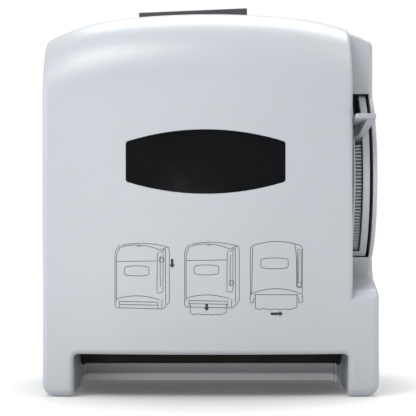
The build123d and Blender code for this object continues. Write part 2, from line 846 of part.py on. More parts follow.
def tear_bar_carrier():
    """The black channel across the outlet, with rounded end lobes and two inner ears."""
    front = carrier_front
    rear = carrier_rear
    wall = carrier_wall
    bottom = carrier_bottom
    channel = flat_outline([
        (front, bottom),
        (rear, bottom),
        (rear, bottom + carrier_rear_height),
        (rear - wall, bottom + carrier_rear_height),
        (rear - wall, bottom + wall),
        (front + wall, bottom + wall),
        (front + wall, bottom + carrier_height),
        (front, bottom + carrier_height),
    ])
    channel_half = frame_inner - carrier_wall - running_clearance
    body = side_plate(channel, -channel_half, channel_half)
    face_outline = Pos(0, bottom + carrier_height / 2) * Rectangle(2 * carrier_half_width, carrier_height)
    body = body + extrude(Plane.XZ.offset(-front) * face_outline, amount=-wall)
    lobe = slab(
        (carrier_half_width - carrier_lobe_width, carrier_half_width),
        (front, front + wall),
        (bottom - carrier_lobe_drop, bottom + carrier_height),
    )
    lobe_edges = [edge for edge in lobe.edges() if abs(edge.center().Z - (bottom - carrier_lobe_drop)) < 0.1
                  and edge.bounding_box().size.Y > wall / 2]
    lobe = fillet(lobe_edges, carrier_lobe_width / 2 - 0.1)
    ear_outline = flat_outline([
        (front, bottom),
        (front + carrier_ear_length + wall, bottom + wall),
        (front + carrier_ear_length + wall, bottom + carrier_ear_height),
        (front, bottom + carrier_ear_height),
    ])
    ear = side_plate(ear_outline, channel_half, frame_inner - running_clearance)
    for place in carrier_screw_places():
        ear = ear - rod_x(place, screw_hole_radius, channel_half - 1, frame_inner + 1)
    for piece in (lobe, ear):
        body = body + piece + mirrored(piece)
    for x in blade_screw_columns():
        body = body - rod_y(x, blade_screw_height(), screw_hole_radius, rear - wall - 1, rear + 1)
    return body


def carrier_screws():
    """The two screws from outside the side frames into the carrier's ears."""
    screws = []
    ear_inner = frame_inner - carrier_wall - running_clearance
    for place in carrier_screw_places():
        head = rod_x(place, frame_screw_head_radius, frame_outer, frame_outer + carrier_screw_head_height)
        screws.append(head + rod_x(place, frame_screw_radius, ear_inner, frame_outer))
    return Compound(children=screws + [mirrored(screw) for screw in screws])


def blade_screw_columns():
    """The places of the tear blade's screws along X."""
    return (-blade_screw_spacing, 0.0, blade_screw_spacing)


def blade_screw_height():
    """The height of the tear blade's screws."""
    return carrier_bottom + 0.6 * carrier_rear_height


def tear_blade():
    """The serrated steel strip on the rear of the carrier, its teeth pointing down."""
    bottom = carrier_bottom - blade_tooth_drop
    count = round(2 * blade_half_width / blade_tooth_pitch)
    points = [(-blade_half_width, bottom + blade_height), (-blade_half_width, bottom + blade_tooth_depth)]
    for tooth in range(count):
        left = -blade_half_width + tooth * blade_tooth_pitch
        points.append((left + blade_tooth_pitch / 2, bottom))
        points.append((left + blade_tooth_pitch, bottom + blade_tooth_depth))
    points.append((points[-1][0], bottom + blade_height))
    rear = carrier_rear
    blade = extrude(Plane.XZ.offset(-rear) * flat_outline(points), amount=-blade_thickness)
    for x in blade_screw_columns():
        blade = blade - rod_y(x, blade_screw_height(), screw_hole_radius, rear - 1, rear + 2)
    return blade


def blade_screws():
    """The screws that hold the tear blade to the carrier."""
    face = carrier_rear + blade_thickness
    screws = []
    for x in blade_screw_columns():
        shank = rod_y(x, blade_screw_height(), frame_screw_radius, carrier_rear - carrier_wall, face)
        head_rear = face + blade_screw_head_height
        head = rod_y(x, blade_screw_height(), 1.6 * frame_screw_radius, face, head_rear)
        screws.append(shank + head)
    return Compound(children=screws)


# ---------------------------------------------------------------- lever and its guide


def guide_post_places():
    """Where the guide's posts meet the right side frame."""
    return [
        (guide_plate_back - 2 * guide_post_radius, pivot[1] + guide_post_rise),
        (guide_plate_back - 2 * guide_post_radius, pivot[1] - guide_post_rise),
    ]


def lever_guide():
    """The guide that fills the lever well: inner plate, slot, outer band and bottom bar."""
    disc = Pos(*pivot) * Circle(guide_radius)
    window = Pos(
        guide_plate_back - guide_radius, (guide_bottom + guide_top) / 2
    ) * Rectangle(2 * guide_radius, guide_top - guide_bottom)
    plate = side_plate(disc & window, guide_left, slot_left)
    plate = plate - rod_x(pivot, guide_spring_window_radius, guide_left - 1, slot_left + 1)
    band_face = ring_sector(guide_radius - guide_ring_depth, guide_radius, guide_bottom, guide_top)
    band = side_plate(band_face, slot_right, band_right)
    tooth_tip = sector_radius + gear_module
    bar_face = ring_sector(
        tooth_tip + guide_bar_gap, guide_radius, guide_bottom, guide_bottom + guide_bar_height
    )
    bar = side_plate(bar_face, slot_left, slot_right)
    guide = plate + band + bar
    for place in guide_post_places():
        guide = guide + rod_x(place, guide_post_radius, frame_outer, guide_left)
        guide = guide - rod_x(place, screw_hole_radius, frame_outer - 1, guide_post_bite_x + seat_clearance)
    return guide


def guide_screws():
    """The screws from inside the right side frame into the guide's posts."""
    screws = [inboard_screw(place, 1, guide_post_bite_x) for place in guide_post_places()]
    return Compound(children=screws)


def lever_pivot_pin():
    """The pin on which the lever swings, held by the right side frame and the gear cover."""
    pin = rod_x(pivot, pivot_pin_radius, frame_inner, gear_cover_right)
    head = rod_x(pivot, pivot_pin_radius + pin_head_rim, frame_inner - pin_head_height, frame_inner)
    return pin + head


def angle_wedge(low_angle, high_angle, radius):
    """A wedge in front of the lever pivot, between two angles above the level line."""
    points = [pivot]
    for angle in (low_angle, (low_angle + high_angle) / 2, high_angle):
        points.append(step_along(pivot, radius, 180 - angle))
    return flat_outline(points)


def paddle_right_edge(depth):
    """The paddle's right edge at a depth; it runs inwards towards the rear."""
    return rim_x - paddle_side_gap - paddle_right_taper * (depth - paddle_tip_depth) / paddle_reach


def paddle_plan():
    """The paddle from above: its right edge runs inwards and its front corners are rounded."""
    left = notch_x + paddle_wall_gap
    outline = flat_outline([
        (left, paddle_tip_depth),
        (paddle_right_edge(paddle_tip_depth), paddle_tip_depth),
        (paddle_right_edge(pivot[0]), pivot[0]),
        (left, pivot[0]),
    ])
    return fillet(outline.vertices().sort_by(Axis.Y)[:2], paddle_corner_radius)


def paddle_blade():
    """The finger plate of the lever, tilted up towards the user and tapered to the back."""
    tilt = math.radians(paddle_tilt)
    length = guide_radius
    drop = length * math.sin(tilt)
    run = length * math.cos(tilt)
    side_view = flat_outline([
        (paddle_tip_depth, paddle_tip_underside),
        (paddle_tip_depth, paddle_tip_underside + paddle_thickness),
        (paddle_tip_depth + run, paddle_tip_underside + paddle_thickness - drop),
        (paddle_tip_depth + run, paddle_tip_underside - drop),
    ])
    paddle = side_plate(side_view, notch_x, half_width)
    paddle = paddle & extrude(Plane.XY * paddle_plan(), amount=crest_height)
    tip_lines = [
        edge for edge in paddle.edges()
        if edge.bounding_box().max.Y < paddle_tip_depth + 0.1
        and edge.bounding_box().size.X > paddle_thickness
    ]
    paddle = fillet(tip_lines, paddle_edge_radius)
    return paddle - rod_x(pivot, guide_radius + paddle_running_gap, notch_x, half_width)


def lever_brace():
    """The leaning brace under the paddle, from its right edge back and down to the slot."""
    rear = pivot[0] - 0.8 * guide_radius
    tilt = math.tan(math.radians(paddle_tilt))

    def section(depth, bottom, bottom_left, bottom_right):
        top = paddle_tip_underside - tilt * (depth - paddle_tip_depth) + brace_lap
        top_right = paddle_right_edge(depth) - brace_edge_gap
        face = flat_outline([
            (bottom_left, bottom),
            (bottom_right, bottom),
            (top_right, top),
            (top_right - brace_top_width, top),
        ])
        return Plane.XZ.offset(-depth) * face

    front = paddle_tip_depth + brace_setback
    front_right = paddle_right_edge(front) - brace_edge_gap
    front_face = section(front, paddle_tip_underside - brace_lap, front_right - brace_top_width, front_right)
    rear_face = section(rear, pivot[1] + brace_rise, arm_left_x, arm_left_x + brace_foot_width)
    brace = loft([front_face, rear_face], ruled=True)
    return brace - rod_x(pivot, guide_radius + paddle_running_gap, notch_x, half_width)


def lever_arm():
    """The moulded lever: hub, web, arm through the slot, paddle and brace."""
    hub = rod_x(pivot, lever_hub_radius, arm_left_x, slot_right)
    arm_disc = Pos(*pivot) * Circle(guide_radius + 2 * paddle_running_gap)
    arm_face = angle_wedge(arm_lower_angle, arm_upper_angle, 1.2 * guide_radius) & arm_disc
    arm = side_plate(arm_face, arm_left_x, arm_right_x)
    web_wedge = sector_wedge(1.3 * sector_rim_inner, arm_lower_angle + 1.0)
    web_face = web_wedge & Pos(*pivot) * Circle(sector_rim_inner)
    web = side_plate(web_face, arm_right_x - lever_web_thickness, arm_right_x)
    lever = hub + arm + web + paddle_blade() + lever_brace()
    lever = lever - rod_x(pivot, pivot_pin_radius + running_clearance, arm_left_x - 1, slot_right + 1)
    for place in sector_screw_places():
        lever = lever - rod_x(place, sector_screw_radius + seat_clearance, arm_left_x, arm_right_x + 1)
    return lever


def sector_lower_angle():
    """The angle, above the level line, at which the sector's teeth end."""
    return -(idler_mesh_angle + sector_lower_margin)


def sector_wedge(radius, upper_angle):
    """A many-sided wedge from the end of the sector's teeth up to an angle above the level line."""
    points = [pivot]
    low = sector_lower_angle()
    steps = 8
    for index in range(steps + 1):
        angle = low + (upper_angle - low) * index / steps
        points.append(step_along(pivot, radius, 180 - angle))
    return flat_outline(points)


def sector_ring(inner, outer):
    """A ring over the sector gear's stretch of angle."""
    ring = Pos(*pivot) * (Circle(outer) - Circle(inner))
    return ring & sector_wedge(1.3 * outer, sector_upper_angle)


def sector_screw_places():
    """The screws that hold the sector gear to the lever's web."""
    radius = sector_rim_inner - sector_lap_depth / 2
    angles = (sector_upper_angle - 6.0, -31.0, sector_lower_angle() + 8.0)
    return [step_along(pivot, radius, 180 - angle) for angle in angles]


# ---------------------------------------------------------------- gears


def involute(angle):
    """The involute function of an angle in radians."""
    return math.tan(angle) - angle


def gear_outline(center, teeth, tooth_direction):
    """A full gear's side view, with one tooth centred on a direction in degrees."""
    pitch = gear_module * teeth / 2
    base = pitch * math.cos(math.radians(pressure_angle))
    root = pitch - gear_root_depth
    tip = pitch + gear_module
    flank_start = max(base, root)
    pitch_half_angle = (math.pi * gear_module / 2 - gear_backlash) / (2 * pitch)
    pitch_involute = involute(math.radians(pressure_angle))

    def half_angle(radius):
        roll = math.acos(min(1.0, base / radius))
        return pitch_half_angle + pitch_involute - involute(roll)

    flank = [flank_start, pitch, tip]
    points = []
    for tooth in range(teeth):
        middle = math.radians(tooth_direction) + 2 * math.pi * tooth / teeth
        rising = [(root, middle - half_angle(flank_start))]
        rising += [(radius, middle - half_angle(radius)) for radius in flank]
        falling = [(radius, middle + half_angle(radius)) for radius in reversed(flank)]
        falling.append((root, middle + half_angle(flank_start)))
        if root >= base:
            rising = rising[1:]
            falling = falling[:-1]
        for radius, angle in rising + falling:
            points.append((center[0] + radius * math.cos(angle), center[1] + radius * math.sin(angle)))
    return flat_outline(points)


def meshing_direction(driver_tooth, driver_teeth, driven_teeth, direction):
    """The direction of a tooth of the driven gear that leaves it in mesh with the driver."""
    lag = (driver_tooth - direction) * driver_teeth / driven_teeth
    return direction + 180 - lag + 180 / driven_teeth


idler_tooth = meshing_direction(sector_mesh_direction, sector_teeth, idler_teeth, sector_mesh_direction)
roller_tooth = meshing_direction(idler_tooth, idler_teeth, roller_gear_teeth, roller_mesh_direction)


def sector_gear():
    """The toothed sector, lapped onto the lever's web and held by screws."""
    teeth = gear_outline(pivot, sector_teeth, sector_mesh_direction)
    rim_inner = sector_rim_inner
    stretch = sector_wedge(1.3 * sector_radius, sector_upper_angle)
    rim = (teeth & stretch) - Pos(*pivot) * Circle(rim_inner + running_clearance)
    gear = side_plate(rim, gear_left, gear_right)
    lap = sector_ring(rim_inner - sector_lap_depth, rim_inner + gear_module)
    lap_right = arm_right_x - lever_web_thickness
    gear = gear + side_plate(lap, gear_left, lap_right)
    for place in sector_screw_places():
        gear = gear - rod_x(place, sector_screw_radius + seat_clearance, gear_left - 1, lap_right + 1)
    return gear


def sector_screws():
    """The three screws through the lever's web into the sector gear."""
    screws = []
    for place in sector_screw_places():
        shank = rod_x(place, sector_screw_radius, gear_left, arm_right_x)
        head_end = arm_right_x + sector_screw_head_height
        screws.append(shank + rod_x(place, 1.7 * sector_screw_radius, arm_right_x, head_end))
    return Compound(children=screws)


def idler_gear():
    """The idler between the sector and the roller gear, with a hub and lightening holes."""
    gear = side_plate(gear_outline(idler, idler_teeth, idler_tooth), gear_left, gear_right)
    hub = rod_x(idler, 2.2 * idler_shaft_radius, frame_outer + end_float, gear_cover_left - end_float)
    gear = gear + hub - rod_x(
        idler, idler_shaft_radius + running_clearance, frame_outer - 1, gear_cover_left + 1
    )
    for index in range(5):
        place = step_along(idler, 0.6 * idler_radius, 72.0 * index)
        gear = gear - rod_x(place, 0.16 * idler_radius, gear_left - 1, gear_right + 1)
    return gear


def idler_shaft():
    """The idler's fixed shaft, from the right side frame to the gear cover."""
    return rod_x(idler, idler_shaft_radius, frame_inner, gear_cover_right)


def gear_cover_post_places():
    """The posts that hold the gear cover off the right side frame."""
    return [
        (guide_plate_back, idler[1] + upper_post_rise),
        (roller[0] - lower_post_reach, roller[1] + lower_post_reach),
    ]


def gear_cover():
    """The outer bearing plate of the gear train."""
    spots = [
        (pivot, 3.2 * pivot_pin_radius),
        (idler, 3.6 * idler_shaft_radius),
        (roller, 2.5 * roller_shaft_radius),
    ]
    spots += [(place, 2 * frame_screw_head_radius) for place in gear_cover_post_places()]
    edges = []
    for place, radius in spots:
        edges += (Pos(*place) * Circle(radius)).edges()
    plate = side_plate(make_hull(edges), gear_cover_left, gear_cover_right)
    holes = [
        (pivot, pivot_pin_radius + seat_clearance),
        (idler, idler_shaft_radius + seat_clearance),
        (roller, roller_shaft_radius + running_clearance),
    ]
    holes += [(place, screw_hole_radius) for place in gear_cover_post_places()]
    for place, radius in holes:
        plate = plate - rod_x(place, radius, gear_cover_left - 1, gear_cover_right + 1)
    band_space = ring_sector(
        guide_radius - guide_ring_depth - gear_cover_gap, guide_radius + gear_cover_gap,
        guide_bottom - gear_cover_gap, guide_top,
    )
    return plate - side_plate(band_space, gear_cover_left - 1, gear_cover_right + 1)


def gear_cover_posts():
    """The two turned spacers under the gear cover."""
    posts = []
    for place in gear_cover_post_places():
        post = rod_x(place, guide_post_radius - 1.0, frame_outer, gear_cover_left)
        posts.append(post - rod_x(place, screw_hole_radius, frame_outer - 1, gear_cover_left + 1))
    return Compound(children=posts)


def gear_cover_screws():
    """The long screws through the gear cover, its posts and the side frame."""
    screws = []
    for place in gear_cover_post_places():
        shank = rod_x(place, frame_screw_radius, frame_inner, gear_cover_right)
        head_end = gear_cover_right + frame_screw_head_height
        screws.append(shank + rod_x(place, frame_screw_head_radius, gear_cover_right, head_end))
    return Compound(children=screws)


# ---------------------------------------------------------------- rollers


def sleeve_columns():
    """The middles of the rubber sleeves along X."""
    return (-sleeve_pitch, 0.0, sleeve_pitch)


def sleeves(place, inner, outer):
    """Three rubber sleeves on a roller, as separate solids."""
    pieces = []
    for x in sleeve_columns():
        ring = Pos(*place) * (Circle(outer) - Circle(inner))
        pieces.append(side_plate(ring, x - sleeve_width / 2, x + sleeve_width / 2))
    return Compound(children=pieces)


def feed_roller_shaft():
    """The feed roller's steel shaft, through both frames to the gear cover."""
    left_end = -(frame_outer + bush_flange_width + end_float + 2 * clip_width)
    return rod_x(roller, roller_shaft_radius, left_end, gear_cover_right)


def feed_roller_core():
    """The moulded core that the rubber sleeves are pressed onto."""
    core = rod_x(roller, feed_core_radius, -feed_core_half_length, feed_core_half_length)
    return core - rod_x(roller, roller_shaft_radius + seat_clearance, -2 * half_width, 2 * half_width)


def feed_roller_sleeves():
    """The rubber sleeves of the feed roller."""
    return sleeves(roller, feed_core_radius + seat_clearance, feed_roller_radius)


def roller_gear():
    """The gear on the feed roller's shaft."""
    gear = side_plate(
        gear_outline(roller, roller_gear_teeth, roller_tooth), gear_left, gear_right
    )
    return gear - rod_x(roller, roller_shaft_radius + seat_clearance, gear_left - 1, gear_right + 1)


def one_way_clutch():
    """The one-way clutch drum that lets the lever return without turning the roller."""
    drum = rod_x(roller, clutch_radius, frame_outer + bush_flange_width + end_float, gear_left)
    return drum - rod_x(roller, roller_shaft_radius + seat_clearance, 0, 2 * half_width)


def roller_bushes():
    """The flanged bushes of the feed roller, one in each side frame."""
    body = rod_x(roller, roller_shaft_radius + bush_wall, frame_inner, frame_outer)
    flange = rod_x(
        roller, roller_shaft_radius + bush_wall + bush_flange, frame_outer, frame_outer + bush_flange_width
    )
    bush = body + flange
    bush = bush - rod_x(
        roller, roller_shaft_radius + running_clearance, frame_inner - 1, frame_outer + 5
    )
    return both_sides(bush)


def shaft_clip():
    """The retaining ring on the left end of the feed roller's shaft."""
    right = -(frame_outer + bush_flange_width + end_float)
    outer = rod_x(roller, roller_shaft_radius + clip_rim, right - clip_width, right)
    return outer - rod_x(roller, roller_shaft_radius + seat_clearance, -2 * half_width, 0)


def pinch_roller_shaft():
    """The pinch roller's shaft, which floats in the side frames' slots."""
    reach = frame_outer + 2 * clip_width
    return rod_x(pinch, pinch_shaft_radius, -reach, reach)


def pinch_roller_sleeves():
    """The pinch roller's wheels, which run against the feed roller's sleeves."""
    return sleeves(pinch, pinch_shaft_radius + seat_clearance, pinch_roller_radius)


def pinch_spring_start():
    """The depth of the first turn of the pinch springs, just behind the shaft."""
    return pinch[0] + pinch_shaft_radius + pinch_spring_wire / 2 + running_clearance


def pinch_springs():
    """The compression springs that press the pinch roller forward, one by each frame."""
    center_x = frame_inner - pinch_spring_radius - end_float
    start = pinch_spring_start()
    pitch = pinch_spring_length / pinch_spring_turns
    helix = Helix(
        pitch=pitch,
        height=pinch_spring_length,
        radius=pinch_spring_radius - pinch_spring_wire / 2,
        center=(center_x, start, pinch[1]),
        direction=(0, 1, 0),
    )
    profile = Plane(origin=helix @ 0, z_dir=helix % 0) * Circle(pinch_spring_wire / 2)
    spring = sweep(profile, path=helix, is_frenet=True)
    return both_sides(spring)


def pinch_spring_brackets():
    """The small angle brackets on the frames that back up the pinch springs."""
    face = pinch_spring_start() + pinch_spring_length + pinch_spring_wire / 2 + end_float
    half_height = pinch_spring_radius + end_float
    stop = slab(
        (frame_inner - 2 * half_height, frame_inner),
        (face, face + 2 * pinch_spring_wire),
        (pinch[1] - half_height, pinch[1] + half_height),
    )
    return both_sides(stop)


# ---------------------------------------------------------------- roll arms


def roll_arm_outline():
    """The side view of a roll arm, from its hinge barrel forward to the core hub."""
    end = Pos(*roll_axis) * Circle(arm_end_radius)
    root = flat_outline([
        (arm_hinge_depth, roll_axis_height - arm_root_width / 2),
        (arm_hinge_depth, roll_axis_height + arm_root_width / 2),
        (roll_axis[0], roll_axis_height + arm_end_radius),
        (roll_axis[0], roll_axis_height - arm_end_radius),
    ])
    return end + root


def roll_arm():
    """The right roll arm: a flat arm with its hinge barrel at the rear."""
    middle = arm_hinge_x
    arm = side_plate(roll_arm_outline(), middle - arm_thickness / 2, middle + arm_thickness / 2)
    low = roll_axis_height - arm_root_width / 2
    high = roll_axis_height + arm_root_width / 2
    arm = arm + rod_z(middle, arm_hinge_depth, arm_barrel_radius, low, high)
    arm = arm - rod_z(
        middle, arm_hinge_depth, arm_hinge_pin_radius + running_clearance, low - 1, high + 1
    )
    return arm - rod_x(roll_axis, core_stub_radius + running_clearance, 0, half_width)


def roll_arm_right():
    """The right roll arm."""
    return roll_arm()


def roll_arm_left():
    """The left roll arm."""
    return mirrored(roll_arm())


def core_hub():
    """The right core hub: a chamfered, notched plug for the roll's core, and its stub axle."""
    inner_face = arm_hinge_x - arm_thickness / 2 - end_float
    tip = inner_face - core_hub_length
    plug = rod_x(roll_axis, core_hub_radius, tip, inner_face)
    plug = chamfer(plug.edges().sort_by(Axis.X)[0], core_hub_radius / 6)
    for index in range(core_hub_notches):
        place = step_along(roll_axis, core_hub_radius, 360.0 * index / core_hub_notches)
        plug = plug - rod_x(place, core_hub_radius / 5, tip - 1, inner_face - core_hub_length / 4)
    outer_face = arm_hinge_x + arm_thickness / 2 + end_float
    stub = rod_x(roll_axis, core_stub_radius, inner_face, outer_face)
    head = rod_x(roll_axis, core_stub_radius + pin_head_rim, outer_face, outer_face + clip_width)
    return plug + stub + head


def core_hub_right():
    """The right core hub."""
    return core_hub()


def core_hub_left():
    """The left core hub."""
    return mirrored(core_hub())


def roll_arm_pins():
    """The hinge pins of both roll arms."""
    levels = arm_lug_levels()
    pin = rod_z(arm_hinge_x, arm_hinge_depth, arm_hinge_pin_radius, levels[0][0], levels[1][1])
    top = levels[1][1]
    head_radius = arm_hinge_pin_radius + pin_head_rim
    head = rod_z(arm_hinge_x, arm_hinge_depth, head_radius, top, top + pin_head_height)
    return both_sides(pin + head)


# ---------------------------------------------------------------- return spring


def lever_return_spring():
    """The torsion spring round the lever's pivot pin, with one leg up and one forward."""
    wire = spring_wire
    coil_radius = pivot_pin_radius + wire / 2 + spring_pin_gap
    start = frame_outer + wire
    length = guide_left - start - wire
    helix = Helix(
        pitch=length / spring_turns,
        height=length,
        radius=coil_radius,
        center=(start, pivot[0], pivot[1]),
        direction=(1, 0, 0),
    )
    first_plane = Plane(origin=helix @ 0, z_dir=helix % 0)
    last_plane = Plane(origin=helix @ 1, z_dir=helix % 1)
    coil = sweep(first_plane * Circle(wire / 2), path=helix, is_frenet=True)
    first_leg = extrude(first_plane * Circle(wire / 2), amount=-3 * coil_radius)
    last_leg = extrude(last_plane * Circle(wire / 2), amount=2 * coil_radius)
    return coil + first_leg + last_leg


# ---------------------------------------------------------------- lock


def lock_housing():
    """The lock's sleeve: a flange on the cover's top and a barrel down through it."""
    top = crest_height
    flange = rod_z(0, lock_depth, lock_flange_radius, top, top + lock_flange_height)
    sleeve = rod_z(0, lock_depth, lock_housing_radius, top - lock_housing_length, top)
    bore = rod_z(
        0, lock_depth, lock_barrel_radius + running_clearance, top - lock_housing_length - 1,
        top + lock_flange_height + 1,
    )
    return flange + sleeve - bore


def lock_nut():
    """The hexagon nut that holds the lock's sleeve under the cover's top."""
    low = crest_height - cover_wall - lock_nut_gap - lock_nut_height
    bore = Circle(lock_housing_radius + seat_clearance)
    outline = Pos(0, lock_depth) * (RegularPolygon(lock_nut_radius, 6) - bore)
    return extrude(Plane.XY.offset(low) * outline, amount=lock_nut_height)


def lock_barrel():
    """The key barrel with its key slot."""
    top = crest_height + lock_flange_height
    barrel = rod_z(0, lock_depth, lock_barrel_radius, top - lock_barrel_length, top)
    slot = slab(
        (-key_slot_width / 2, key_slot_width / 2),
        (lock_depth - key_slot_length / 2, lock_depth + key_slot_length / 2),
        (top - key_slot_depth, top + 1),
    )
    return barrel - slot


def cam_bottom():
    """The height of the cam's lower face."""
    return crest_height + lock_flange_height - lock_barrel_length - cam_thickness


def lock_cam():
    """The latch cam under the barrel, pointing to the rear while the lock is open."""
    low = cam_bottom()
    finger = slab(
        (-cam_width / 2, cam_width / 2), (lock_depth, lock_depth + cam_length), (low, low + cam_thickness)
    )
    return finger + rod_z(0, lock_depth, lock_barrel_radius, low, low + cam_thickness)


def latch_keeper():
    """The hook on the back plate that the cam turns behind."""
    post_rear = lock_depth - cam_width / 2 - keeper_gap
    post_front = post_rear - keeper_thickness
    arm_top = cam_bottom() - keeper_gap
    arm_bottom = arm_top - keeper_thickness
    x_range = (keeper_offset, keeper_offset + keeper_width)
    arm = slab(x_range, (post_front, plate_front), (arm_bottom, arm_top))
    post = slab(x_range, (post_front, post_rear), (arm_bottom, arm_top + 3 * keeper_thickness))
    foot_bottom = arm_bottom - keeper_foot_height
    foot = slab(x_range, (plate_front - keeper_thickness, plate_front), (foot_bottom, arm_top))
    return arm + post + foot


# ---------------------------------------------------------------- writing

piece_makers = [
    back_plate,
    left_side_frame,
    right_side_frame,
    frame_screws,
    outlet_tray,
    tray_screws,
    cover_hinge_pins,
    tear_bar_carrier,
    carrier_screws,
    tear_blade,
    blade_screws,
    lever_guide,
    guide_screws,
    lever_pivot_pin,
    lever_return_spring,
    idler_shaft,
    gear_cover,
    gear_cover_posts,
    gear_cover_screws,
    roller_bushes,
    pinch_springs,
    pinch_spring_brackets,
    roll_arm_pins,
    latch_keeper,
    front_cover,
    window_lens,
    lock_housing,
    lock_nut,
    lock_barrel,
    lock_cam,
    lever_arm,
    sector_gear,
    sector_screws,
    idler_gear,
    feed_roller_shaft,
    feed_roller_core,
    feed_roller_sleeves,
    roller_gear,
    one_way_clutch,
    shaft_clip,
    pinch_roller_shaft,
    pinch_roller_sleeves,
    roll_arm_left,
    roll_arm_right,
    core_hub_left,
    core_hub_right,
]

os.makedirs("parts", exist_ok=True)
for make_piece in piece_makers:
    piece = Pos(0, -frame_shift, 0) * make_piece()
    export_step(piece, f"parts/{make_piece.__name__}.step")
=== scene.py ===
import json
import math

import bmesh
import bpy
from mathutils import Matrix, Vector


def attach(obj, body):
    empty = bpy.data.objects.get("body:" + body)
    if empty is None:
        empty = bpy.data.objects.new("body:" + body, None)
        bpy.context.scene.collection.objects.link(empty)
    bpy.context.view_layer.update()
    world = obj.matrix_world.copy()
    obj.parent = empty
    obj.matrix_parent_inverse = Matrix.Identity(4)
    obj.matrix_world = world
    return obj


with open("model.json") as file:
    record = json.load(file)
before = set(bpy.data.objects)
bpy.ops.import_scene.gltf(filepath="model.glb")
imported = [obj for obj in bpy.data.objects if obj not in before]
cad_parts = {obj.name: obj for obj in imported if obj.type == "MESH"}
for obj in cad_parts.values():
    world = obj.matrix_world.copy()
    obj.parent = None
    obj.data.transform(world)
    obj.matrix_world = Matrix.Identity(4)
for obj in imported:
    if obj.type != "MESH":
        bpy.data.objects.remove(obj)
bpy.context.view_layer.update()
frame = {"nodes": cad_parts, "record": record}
nodes = frame["nodes"]
MM = 0.001

# The casing, in millimetres in the row frame
CASING_DEPTH_SHIFT = 108.0
CROWN_HEIGHT = 14.0
HALF_WIDTH = 162.5
CROWN_RADIUS = (HALF_WIDTH**2 + CROWN_HEIGHT**2) / (2 * CROWN_HEIGHT)

# The camera, in millimetres
CAMERA_X = -2.74
CAMERA_HEIGHT = 181.7
CAMERA_DISTANCE = 1500.0
LENS_MM = 135.0
SENSOR_MM = 36.0

# Distances on the stage, in metres
CAMERA_REACH = 50.0
FLOOR_HALF_SIZE = 6.0
FLOOR_GLOW_START = 0.13
FLOOR_GLOW_END = 0.40

# The floor's grey, and how strongly the floor and the surround glow
FLOOR_SHADE = 0.50
FLOOR_GLOW_NEAR = 0.09
FLOOR_GLOW_FAR = 0.85
SURROUND_LIGHT = 0.55
WHITE = (1.0, 1.0, 1.0, 1.0)

# Edge softness of moulded and of metal pieces, in metres
MOULDED_EDGE = 0.0005
METAL_EDGE = 0.0003
EDGE_SAMPLES = 4

# Levels of the outlet's painted light and shade, and reach of the painted shade between the gear teeth, in
# metres
LIP_TOP = 0.0068
CHUTE_TOP = 0.046
GAP_PAINTED_SHADE_REACH = 0.0022
OPENNESS_SAMPLES = 8

# Mould grain and the slow waves under it: noise scales, and depths in metres
GRAIN_SCALE = 2600.0
GRAIN_DEPTH = 0.00004
WAVE_SCALE = 420.0
WAVE_DEPTH = 0.00008

# Drawn lines of bar and strip steel: long along X, fine across it
DRAWN_LINE_SCALE = (25.0, 1400.0, 1400.0)
DRAWN_LINE_DEPTH = 0.00003

# Printed usage pictures on the cover, in millimetres
INK_WIDTH = 0.62
INK_LIFT = 0.07
INK_STEP = 2.5
ARROW_LIFT = 1.3 * INK_LIFT
ARROW_SHAFT = 2.5
ARROW_HEAD = 5.4
ARROW_HEAD_LENGTH = 3.4
LEVER_UP = 44.0
LEVER_DOWN = 21.0
HANDLE_HEIGHT = 4.2
FIRST_ORIGIN = (-91.6, 86.2)
SECOND_ORIGIN = (-25.0, 87.2)
THIRD_ORIGIN = (37.2, 85.6)

# Tail and tip of the arrows: lever down, towel out, towel torn off sideways
ARROWS = (
    ((-36.9, 133.1), (-36.9, 124.4)),
    ((-4.0, 90.6), (-4.0, 83.4)),
    ((57.0, 80.8), (68.8, 80.8)),
)

# How finely the pictures' bows and rounded corners are drawn
ARC_STEPS = 12
CORNER_POINTS = 4
BOW_SHARES = (0.25, 0.5, 0.75)

# A torn towel's lower edge: share of its width, and drop in millimetres
TORN_EDGE = (
    (0.0, 0.0), (0.08, -1.0), (0.2, -0.2), (0.33, -1.3), (0.46, -0.6), (0.6, -1.5), (0.7, -0.5), (0.82, -1.2),
    (0.92, -0.3), (1.0, 1.0),
)


# ---------------------------------------------------------------- materials


